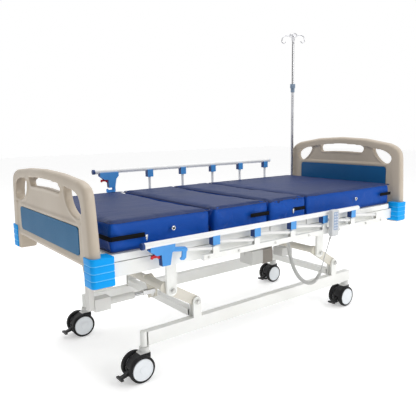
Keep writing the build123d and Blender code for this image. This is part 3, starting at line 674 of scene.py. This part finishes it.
EYE = {
    "foot": [(0.242, 0.868), (0.244, 0.908), (0.33, 0.904), (0.395, 0.89), (0.426, 0.852), (0.412, 0.79),
             (0.365, 0.778), (0.3, 0.794), (0.258, 0.826)],
    "head": [(0.262, 0.97), (0.274, 1.007), (0.345, 1.001), (0.402, 0.978), (0.413, 0.92), (0.376, 0.872),
             (0.345, 0.883), (0.298, 0.917)],
}
SLOT = {"foot": (0.197, 0.863, 0.912, 0.007), "head": (0.19, 0.947, 1.011, 0.008)}   # half, low, high, rise
PANEL_BOX = {"foot": (0.368, 0.63, 0.746), "head": (0.368, 0.63, 0.862)}


def slot_loop(half, low, high, rise, grow=0.0):
    """Handle slot outline: a long rounded slot whose middle is a little higher than its ends."""
    points = []
    radius = (high - low) / 2 + grow
    for step in range(11):
        y = half - radius - (half - radius) * 2 * step / 10
        points.append((y, high + grow + rise * (1 - (y / half) ** 2)))
    for step in range(1, 6):
        a = math.pi / 2 + math.pi * step / 6
        points.append((-half + radius + radius * math.cos(a), (high + low) / 2 + radius * math.sin(a)))
    for step in range(11):
        y = -(half - radius) + (half - radius) * 2 * step / 10
        points.append((y, low - grow + rise * (1 - (y / half) ** 2)))
    for step in range(1, 6):
        a = -math.pi / 2 + math.pi * step / 6
        points.append((half - radius + radius * math.cos(a), (high + low) / 2 + radius * math.sin(a)))
    return points


def flat_shape(name, loops, x, thick, rounding):
    """Solid of a flat outline with holes, standing across the bed at x, its edges rounded."""
    outline = bpy.data.curves.new(name, "CURVE")
    outline.dimensions = "2D"
    outline.fill_mode = "BOTH"
    outline.extrude = max(thick / 2 - rounding, 0.0005)
    outline.bevel_depth = rounding
    outline.bevel_resolution = 4
    outline.offset = -rounding
    outline.resolution_u = 8
    for points, smooth in loops:
        spline = outline.splines.new("NURBS" if smooth else "POLY")
        spline.points.add(len(points) - 1)
        for point, (y, z) in zip(spline.points, points):
            point.co = (y, z, 0, 1)
        if smooth:
            spline.order_u = 3
        spline.use_cyclic_u = True
    piece = bpy.data.objects.new(name, outline)
    bpy.context.scene.collection.objects.link(piece)
    piece.matrix_world = Matrix(((0, 0, 1, x), (1, 0, 0, 0), (0, 1, 0, 0), (0, 0, 0, 1)))
    return settle(piece)


def ring(points):
    """Both sides of a half outline, as one closed loop."""
    return [(y, z) for y, z in points] + [(-y, z) for y, z in reversed(points) if y > 0]


def end_board(end):
    """The moulded shell of one end: rim, field, rolled openings, bands and legs, fused and smoothed."""
    sx = -1 if end == "foot" else 1
    outer = ring(OUTLINE[end])
    inner = ring([(y - 0.044 if y > 0.05 else y, z - 0.033 if z > 0.7 else z) for y, z in OUTLINE[end]])
    eyes = [[(s * y, z) for y, z in EYE[end]] for s in (-1, 1)]
    half, low, high, rise = SLOT[end]
    grow = 0.012
    parts = [
        flat_shape("rim", [(outer, False), (inner, False)], sx * BOARD_X, BOARD_T, 0.019),
        flat_shape("field", [(outer, False), (slot_loop(half, low, high, rise), False)] + [(e, True) for e in eyes],
                   sx * BOARD_X, FIELD_T, 0.008),
        flat_shape("slot_lip", [(slot_loop(half, low, high, rise, grow), False),
                                (slot_loop(half, low, high, rise), False)], sx * BOARD_X, BOARD_T - 0.012, 0.004),
    ]
    for s, eye in zip((-1, 1), eyes):
        middle = Vector((sum(y for y, _ in eye) / len(eye), sum(z for _, z in eye) / len(eye)))
        wide = [tuple(middle + (Vector(p) - middle) * 1.22) for p in eye]
        parts.append(flat_shape("eye_lip", [(wide, True), (eye, True)], sx * BOARD_X, BOARD_T - 0.01, 0.004))
    panel_half, z0, z1 = PANEL_BOX[end]
    frame_loop = [(-0.44, 0.592), (0.44, 0.592), (0.44, z1 + 0.021), (-0.44, z1 + 0.021)]
    window = [(-panel_half, z0), (panel_half, z0), (panel_half, z1), (-panel_half, z1)]
    parts.append(flat_shape("panel_frame", [(frame_loop, False), (window, False)], sx * BOARD_X, BOARD_T - 0.009,
                            0.006))
    for s in (-1, 1):
        leg = [(s * y, z) for y, z in ((0.494, 0.61), (0.494, 0.517), (0.416, 0.517), (0.388, 0.61))]
        parts.append(flat_shape("leg", [(leg, False)], sx * (0.9855 + BOARD_X + BOARD_T / 2) / 2, 0.089, 0.008))
    shell = join(f"{end}_board_shell", parts)
    fused = shell.modifiers.new("fused", "REMESH")
    fused.mode = "VOXEL"
    fused.voxel_size = 0.0042
    melted = shell.modifiers.new("melted", "SMOOTH")
    melted.factor = 0.6
    melted.iterations = 7
    thinner = shell.modifiers.new("thinner", "DECIMATE")
    thinner.ratio = 0.45
    settle(shell, 60)
    shell.data.materials.clear()
    shell.data.materials.append(SHELL)
    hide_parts(f"{end}board")
    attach(shell, "bed")


def blue_panels():
    """Blue panels on both faces of both boards, plain, with a fine bevel round their corners."""
    found = []
    for end, sx in (("foot", -1), ("head", 1)):
        half, z0, z1 = PANEL_BOX[end]
        for face in (-1, 1):
            corner = 0.021
            loop = []
            for cy, cz, first in ((half - corner, z1 - corner, 0), (-half + corner, z1 - corner, 90),
                                  (-half + corner, z0 + corner, 180), (half - corner, z0 + corner, 270)):
                for step in range(7):
                    a = math.radians(first + step * 15)
                    loop.append((cy + corner * math.cos(a), cz + corner * math.sin(a)))
            plate = flat_shape(f"{end}_panel", [(loop, False)], sx * BOARD_X + face * 0.0165, 0.006, 0.0015)
            plate.data.materials.clear()
            plate.data.materials.append(PANEL[end])
            found.append(plate)
    panels = join("blue_panels", found)
    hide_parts("board_panels")
    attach(panels, "bed")


end_board("foot")
end_board("head")
blue_panels()

# --- Corner bumpers ----------------------------------------------------------------------------------
# Bright blue soft plastic caps round the four lower corners of the boards, each with three moulded
# grooves round it whose bottoms are painted a paler blue as a painted highlight.
BUMPER = finish("bumper_plastic", (0.0, 0.34, 0.86), (0.0, 0.3, 0.8), (0.01, 0.4, 0.9), (0.34, 0.46), patch=6.0,
                grain=700.0, depth=0.1, shine=0.12)
# painted highlight: a paler blue for the groove bottoms, standing in for the light they catch
GROOVE_PAINTED_HIGHLIGHT = finish("bumper_groove", (0.1, 0.52, 0.9), (0.08, 0.48, 0.88), (0.2, 0.6, 0.95), (0.35, 0.5), patch=9.0,
                grain=900.0, depth=0.06)


def bumper(sx, side):
    """One corner cap: rounded block with three grooves round its outer faces."""
    clear_selection()
    x0, x1, y0, y1 = 0.9835, 1.0795, 0.4255, 0.5005
    bpy.ops.mesh.primitive_cube_add(size=1, location=((x0 + x1) / 2, (y0 + y1) / 2, 0.5825),
                                    scale=(x1 - x0, y1 - y0, 0.1145))
    cap = bpy.context.object
    bpy.ops.object.transform_apply(location=True, rotation=True, scale=True)
    cap.data.materials.append(BUMPER)
    cap.data.materials.append(GROOVE_PAINTED_HIGHLIGHT)
    bpy.ops.object.mode_set(mode="EDIT")
    pick("edges", lambda c, d: abs(d.z) > 0.05 and c.x > 1.07 and c.y > 0.49)
    bpy.ops.mesh.bevel(offset=0.016, segments=6)
    pick("edges", lambda c, d: abs(d.z) > 0.05 and c.x < 1.0 and c.y > 0.49)
    bpy.ops.mesh.bevel(offset=0.007, segments=3)
    for z in (0.5545, 0.5835, 0.6125):
        for dz in (-0.0034, -0.0018, 0.0018, 0.0034):
            bpy.ops.mesh.select_all(action="SELECT")
            bpy.ops.mesh.bisect(plane_co=(0, 0, z + dz), plane_no=(0, 0, 1))
    bpy.ops.object.mode_set(mode="OBJECT")
    for vertex in cap.data.vertices:
        for z in (0.5545, 0.5835, 0.6125):
            if abs(vertex.co.z - z) < 0.0019:
                vertex.co.x -= 0.0015 if vertex.co.x > 1.03 else -0.0015
                vertex.co.y -= 0.0015 if vertex.co.y > 0.47 else 0.0
    # painted highlight: the groove bottoms take the paler blue
    for face in cap.data.polygons:
        if any(abs(face.center.z - z) < 0.0008 for z in (0.5545, 0.5835, 0.6125)):
            face.material_index = 1
    rounding = cap.modifiers.new("rounding", "BEVEL")
    rounding.width = 0.001
    rounding.segments = 2
    rounding.angle_limit = math.radians(50)
    settle(cap, 40)
    cap.data.transform(Matrix.Diagonal((sx, side, 1, 1)))
    if sx * side < 0:
        cap.data.flip_normals()
    return cap


caps = join("bumper_caps", [bumper(sx, side) for sx in (-1, 1) for side in (-1, 1)])
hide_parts("corner_bumpers")
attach(caps, "bed")

# --- Side rails --------------------------------------------------------------------------------------
# White coated steel posts fold on a low bar; a white aluminium tube with blue plastic blocks joins them.
# A blue latch plate with a red trigger locks each rail, and screws hold the low bar to the bed frame.
ALUMINIUM = finish("white_aluminium", (0.82, 0.825, 0.82), (0.78, 0.785, 0.78), (0.88, 0.88, 0.88), (0.24, 0.34),
                   patch=9.0, grain=1300.0, depth=0.04)
POST_TONES = (0.79, 0.79, 0.78), (0.74, 0.74, 0.72), (0.84, 0.84, 0.83), (0.25, 0.38)
POST = finish("post_steel", *POST_TONES, patch=10.0, grain=1000.0, depth=0.05)
CLEVIS = finish("clevis_plastic", (0.07, 0.32, 0.74), (0.055, 0.27, 0.66), (0.12, 0.36, 0.72), (0.3, 0.42), patch=16.0,
                grain=1000.0, depth=0.08)
TRIGGER = finish("trigger_plastic", (0.62, 0.012, 0.02), (0.52, 0.01, 0.016), (0.75, 0.06, 0.06), (0.28, 0.4),
                 patch=20.0, grain=1100.0, depth=0.08)
# navy for the real end cap, and also painted shade on the blocks' foot-facing faces
CLEVIS_NAVY_AND_SHADE = finish("clevis_navy", (0.012, 0.05, 0.2), (0.01, 0.04, 0.16), (0.03, 0.08, 0.25), (0.34, 0.46),
                     patch=16.0, grain=1000.0, depth=0.08)
HOOK_SPLIT = {"near": ((-1, 0, 0), 0.6457), "far": ((0, 0, 1), 0.747)}    # first posts are blue past here: the hook
dress("rail_mounts", POWDER_COAT, 0.0015)
for where in ("near", "far"):
    dress(f"rail_{where}_top_tube", ALUMINIUM, 0.002)
    fittings = dress(f"rail_{where}_fittings", CLEVIS, 0.0025)
    fittings.data.materials.append(CLEVIS_NAVY_AND_SHADE)
    foot_end = min(v.co.x for v in fittings.data.vertices)
    for face in fittings.data.polygons:                      # navy end cap, and painted shade on the foot-facing faces
        if face.normal.x < -0.7 or face.center.x < foot_end + 0.0125:
            face.material_index = 1
    dress(f"rail_{where}_trigger", TRIGGER, 0.0015)
    for i in range(2, 7):
        dress(f"rail_{where}_post_{i}", POST, 0.002)
    way, limit = HOOK_SPLIT[where]
    dress(f"rail_{where}_post_1", two_tone(finish(f"hook_post_{where}", *POST_TONES, patch=10.0, grain=1000.0,
                                                  depth=0.05), way, limit, (0.07, 0.32, 0.74)), 0.002)
rail_screw = hex_bolt(0.009, 0.004)
screws = []
for x in (-0.535, -0.36, -0.12, 0.13, 0.38, 0.63, 0.785):
    screws.append(copy_at(rail_screw, Vector((x, -0.505, 0.5585)), "screw_near"))
    screws.append(copy_at(rail_screw, Vector((x, 0.505, 0.5585)), "screw_far", math.pi))
screws = join("rail_screws", screws)
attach(screws, "bed")
bpy.data.objects.remove(rail_screw)

# --- Infusion pole -----------------------------------------------------------------------------------
# A stainless tube in the corner socket with a thinner rod inside it, a blue-grey clamp collar and a
# four-hook head of bent steel rod. The steel is brushed round its axis.
STAINLESS = finish("stainless", (0.56, 0.56, 0.57), (0.48, 0.48, 0.49), (0.68, 0.68, 0.68), (0.2, 0.32), patch=14.0,
                   grain=1500.0, depth=0.06, metallic=1.0)
COLLAR = finish("collar_plastic", (0.2, 0.27, 0.36), (0.17, 0.23, 0.31), (0.3, 0.36, 0.44), (0.35, 0.48), patch=20.0,
                grain=900.0, depth=0.1)
CHROME = finish("hook_chrome", (0.72, 0.72, 0.74), (0.64, 0.64, 0.66), (0.8, 0.8, 0.82), (0.12, 0.22), patch=20.0,
                grain=1200.0, depth=0.03, metallic=1.0)


def two_part(node, lower, upper, at):
    """Give a node two finishes, one below a height and one above it."""
    piece = dress(node, lower, 0.001)
    piece.data.materials.append(upper)
    for face in piece.data.polygons:
        if face.center.z > at:
            face.material_index = 1
    return piece


two_part("pole_lower", STAINLESS, COLLAR, 1.389)
dress("pole_rod", STAINLESS, 0.0005)
dress("pole_hooks", CHROME, 0.0008)

# --- Handset -----------------------------------------------------------------------------------------
# Pale grey hand control hung on the near rail bar by its hook: a rounded moulded body in two halves,
# and a bluish membrane keypad with two columns of soft buttons and small round lamps.
HAND_SHELL = finish("handset_plastic", (0.58, 0.59, 0.6), (0.53, 0.54, 0.55), (0.68, 0.68, 0.68), (0.36, 0.5),
                    patch=30.0, grain=1500.0, depth=0.12)
KEYPAD = finish("keypad_membrane", (0.3, 0.38, 0.52), (0.27, 0.35, 0.49), (0.4, 0.47, 0.6), (0.4, 0.52), patch=50.0,
                grain=2500.0, depth=0.1)
KEY = finish("key_dome", (0.55, 0.6, 0.68), (0.5, 0.55, 0.64), (0.7, 0.73, 0.78), (0.32, 0.44), patch=60.0,
             grain=2500.0, depth=0.05)
dress("handset", HAND_SHELL, 0.0015)
dress("handset_keypad", KEYPAD, 0.0004)
(key_x0, key_y0, key_z0), (key_x1, key_y1, key_z1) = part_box("handset_keypad")
keys = []
for row in range(6):
    for column in (-1, 1):
        clear_selection()
        z = key_z0 + (key_z1 - key_z0) * (row + 0.6) / 6.2
        bpy.ops.mesh.primitive_cube_add(size=1, scale=(0.011, 0.0022, 0.0085),
                                        location=((key_x0 + key_x1) / 2 + column * 0.0082, key_y0 - 0.0004, z))
        key = bpy.context.object
        bpy.ops.object.transform_apply(location=True, rotation=True, scale=True)
        bpy.ops.object.mode_set(mode="EDIT")
        pick("faces", lambda c, n: n.y < -0.9)
        bpy.ops.mesh.inset(thickness=0.0018, depth=0.0003)
        bpy.ops.object.mode_set(mode="OBJECT")
        rounding = key.modifiers.new("rounding", "BEVEL")
        rounding.width = 0.0008
        rounding.segments = 2
        keys.append(settle(key))
keys = join("handset_keys", keys)
keys.data.materials.append(KEY)
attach(keys, "handset")

# --- Handset cable -----------------------------------------------------------------------------------
# One pale grey cable from the frame to the handset: a curly stretch that hangs in a bow, then a thin
# straight one up to a tapered sleeve in the bottom of the handset.
CABLE = finish("cable_sheath", (0.5, 0.5, 0.49), (0.44, 0.44, 0.43), (0.62, 0.62, 0.6), (0.36, 0.5), patch=40.0,
               grain=1800.0, depth=0.1)
COIL_ROUTE = [(0.05, -0.425, 0.536), (0.052, -0.436, 0.47), (0.066, -0.445, 0.402), (0.094, -0.456, 0.338),
              (0.138, -0.468, 0.29), (0.19, -0.48, 0.274), (0.228, -0.49, 0.3), (0.242, -0.5, 0.35)]
LEAD_ROUTE = [(0.2424, -0.501, 0.352), (0.246, -0.512, 0.412), (0.255, -0.528, 0.474), (0.266, -0.539, 0.538)]
COIL_R, CORD_R, LEAD_R, PITCH, STEPS = 0.011, 0.0026, 0.003, 0.0064, 14


def route_curve(name, route, radius):
    """Smooth open spline along a route, round if it has a radius."""
    curve = bpy.data.curves.new(name, "CURVE")
    curve.dimensions = "3D"
    curve.bevel_depth = radius
    curve.bevel_resolution = 2
    curve.resolution_u = 12
    spline = curve.splines.new("NURBS")
    spline.points.add(len(route) - 1)
    for point, place in zip(spline.points, route):
        point.co = (*place, 1)
    spline.order_u = 3
    spline.use_endpoint_u = True
    cord = bpy.data.objects.new(name, curve)
    bpy.context.scene.collection.objects.link(cord)
    return cord


def helix_round(line):
    """Points of a helix round a line, its radius growing from nothing at both ends."""
    along, places = 0.0, [Vector(v.co) for v in line.vertices]
    total = sum((b - a).length for a, b in zip(places, places[1:]))
    turns = total / PITCH
    count = int(turns * STEPS)
    out = Vector((0, 0, 1)).cross(places[1] - places[0]).normalized()
    points, at, run = [], 0, (places[1] - places[0]).length
    for k in range(count + 1):
        want = total * k / count
        while at < len(places) - 2 and along + run < want:
            along += run
            at += 1
            run = (places[at + 1] - places[at]).length
        ahead = (places[at + 1] - places[at]).normalized()
        centre = places[at] + ahead * (want - along)
        out = (out - ahead * out.dot(ahead)).normalized()
        side = ahead.cross(out)
        wide = (COIL_R - CORD_R) * min(1.0, want / 0.012, (total - want) / 0.012)
        a = 2 * math.pi * k / STEPS
        points.append(centre + (out * math.cos(a) + side * math.sin(a)) * max(wide, 0.0))
    return points


guide = route_curve("guide", COIL_ROUTE, 0)
middle_line = bpy.data.meshes.new_from_object(guide)
helix = helix_round(middle_line)
coiled = route_curve("curly_cable", helix, CORD_R)
coiled.data.resolution_u = 1
coiled.data.bevel_resolution = 1
bpy.data.objects.remove(guide)
lead = route_curve("straight_cable", LEAD_ROUTE, LEAD_R)
for cord, node in ((coiled, "cable_coiled"), (lead, "cable_straight")):
    cord.data.materials.append(CABLE)
    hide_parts(node)
    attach(cord, "bed")


def sleeve(name, start, end, wide, thin, ribs):
    """Tapered strain relief with moulded ribs, from start towards end."""
    start, end = Vector(start), Vector(end)
    clear_selection()
    bpy.ops.mesh.primitive_cylinder_add(vertices=20, radius=wide, depth=0.001)
    cone = bpy.context.object
    bpy.ops.object.mode_set(mode="EDIT")
    length = (end - start).length
    for rib in range(ribs * 2):
        pick("faces", lambda c, n: n.z > 0.9)
        now = wide + (thin - wide) * (rib + 1) / (ribs * 2)
        bpy.ops.mesh.extrude_region_move(TRANSFORM_OT_translate={"value": (0, 0, length / (ribs * 2))})
        grown = now / max((v.co.xy.length for v in bmesh.from_edit_mesh(cone.data).verts if v.select), default=1)
        grown *= 1.12 if rib % 2 else 0.94
        bpy.ops.transform.resize(value=(grown, grown, 1))
    bpy.ops.object.mode_set(mode="OBJECT")
    cone.matrix_world = Matrix.Translation(start) @ (end - start).to_track_quat("Z", "Y").to_matrix().to_4x4()
    cone.name = name
    settle(cone, 50)
    cone.data.materials.append(CABLE)
    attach(cone, "bed")
    return cone


top_sleeve = sleeve("frame_cable_sleeve", (0.05, -0.425, 0.538), (0.0505, -0.428, 0.517), 0.007, 0.004, 4)
lead_sleeve = sleeve("lead_cable_sleeve", (0.266, -0.539, 0.5375), (0.263, -0.5362, 0.5215), 0.0052, 0.0038, 4)

# --- Room, light and camera --------------------------------------------------------------------------
# A plain white studio: pale floor, white surroundings, a soft key light from the near side and a wide one
# overhead. The camera stands near the foot corner at standing eye height.


def studio_floor():
    """Pale floor with the faintest mottle."""
    clear_selection()
    bpy.ops.mesh.primitive_plane_add(size=40, location=(0, 0, 0))
    floor = bpy.context.object
    floor.name = "studio_floor"
    paint = finish("studio_paint", (0.93, 0.93, 0.93), (0.925, 0.925, 0.925), (0.93, 0.93, 0.93), (0.8, 0.9),
                   patch=1.5, grain=40.0, depth=0.0)
    paint.node_tree.nodes["Principled BSDF"].inputs["Emission Color"].default_value = (1, 1, 1, 1)
    paint.node_tree.nodes["Principled BSDF"].inputs["Emission Strength"].default_value = 0.37
    floor.data.materials.append(paint)


def soft_light(name, place, aim, size, power):
    """Square area light at a place, facing a point."""
    lamp = bpy.data.lights.new(name, "AREA")
    lamp.size = size
    lamp.energy = power
    holder = bpy.data.objects.new(name, lamp)
    bpy.context.scene.collection.objects.link(holder)
    holder.location = place
    holder.rotation_euler = (Vector(aim) - Vector(place)).to_track_quat("-Z", "Y").to_euler()


studio_floor()
def studio_world():
    """White surroundings, full on the far side and at the head end and dimmer on the near side and at the foot."""
    world = bpy.data.worlds.new("studio")
    bpy.context.scene.world = world
    world.use_nodes = True
    n, link = world.node_tree.nodes, world.node_tree.links.new
    place, facing, level = n.new("ShaderNodeTexCoord"), n.new("ShaderNodeVectorMath"), n.new("ShaderNodeMapRange")
    facing.operation = "DOT_PRODUCT"
    facing.inputs[1].default_value = (0.63, 0.78, 0.0)
    level.inputs["From Min"].default_value = -0.6
    level.inputs["From Max"].default_value = 0.75
    level.inputs["To Min"].default_value = 0.3
    level.inputs["To Max"].default_value = 1.0
    link(place.outputs["Generated"], facing.inputs[0])
    link(facing.outputs["Value"], level.inputs["Value"])
    link(level.outputs["Result"], n["Background"].inputs["Strength"])
    n["Background"].inputs["Color"].default_value = (1, 1, 1, 1)


soft_light("key_light", (1.4, -4.4, 2.9), (0, 0, 0.5), 2.6, 95)
soft_light("top_light", (0.0, 0.2, 4.4), (0, 0, 0.5), 4.0, 95)
studio_world()
bpy.context.scene.view_settings.view_transform = "Standard"
eye = bpy.data.cameras.new("eye")
eye.lens = 41.74
eye.sensor_width = 36.0
eye.shift_x, eye.shift_y = -0.0402, 0.0045
eye.clip_end = 100
stand = bpy.data.objects.new("eye", eye)
bpy.context.scene.collection.objects.link(stand)
YAW, PITCH_DOWN, ROLL = 0.679315, 0.166019, -0.011952        # radians, yaw from +Y towards +X
stand.matrix_world = (Matrix.Translation((-1.78313, -2.16618, 1.11881)) @ Matrix.Rotation(-YAW, 4, "Z")
                      @ Matrix.Rotation(math.pi / 2 - PITCH_DOWN, 4, "X") @ Matrix.Rotation(ROLL, 4, "Z"))
bpy.context.scene.camera = stand
